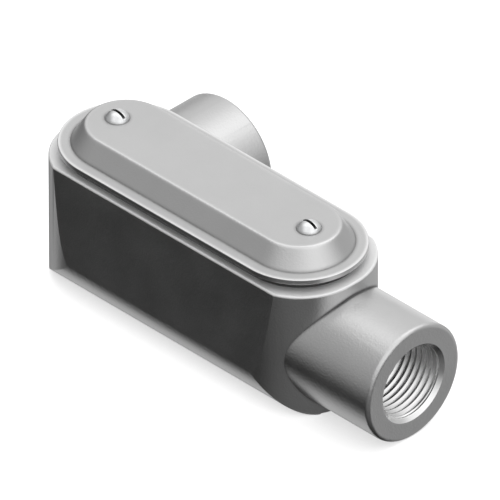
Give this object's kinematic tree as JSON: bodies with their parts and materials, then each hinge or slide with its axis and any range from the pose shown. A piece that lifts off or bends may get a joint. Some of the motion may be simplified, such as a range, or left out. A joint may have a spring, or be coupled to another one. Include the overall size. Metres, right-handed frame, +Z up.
{
  "type": "conduit body",
  "caption": "Side-outlet conduit body: a hollow rounded casting with threaded hubs at a right angle and a domed cover screwed down on a gasket.",
  "frame": {"origin": "on the flat base, under the middle of the body between its two rounded ends", "axes": "+X out of the end hub, +Y out of the side hub, +Z up out of the cover"},
  "size_m": [0.1202, 0.0576, 0.0472],
  "materials": {
    "cast_body": "cast, fine blasted",
    "cast_cover": "cast, fine blasted",
    "gasket_rubber": "matt",
    "screw_steel": "bright"
  },
  "bodies": {
    "root": {"housing": "cast_body", "gasket": "gasket_rubber", "cover": "cast_cover", "front_cover_screw": "screw_steel", "rear_cover_screw": "screw_steel"}
  },
  "joints": []
}
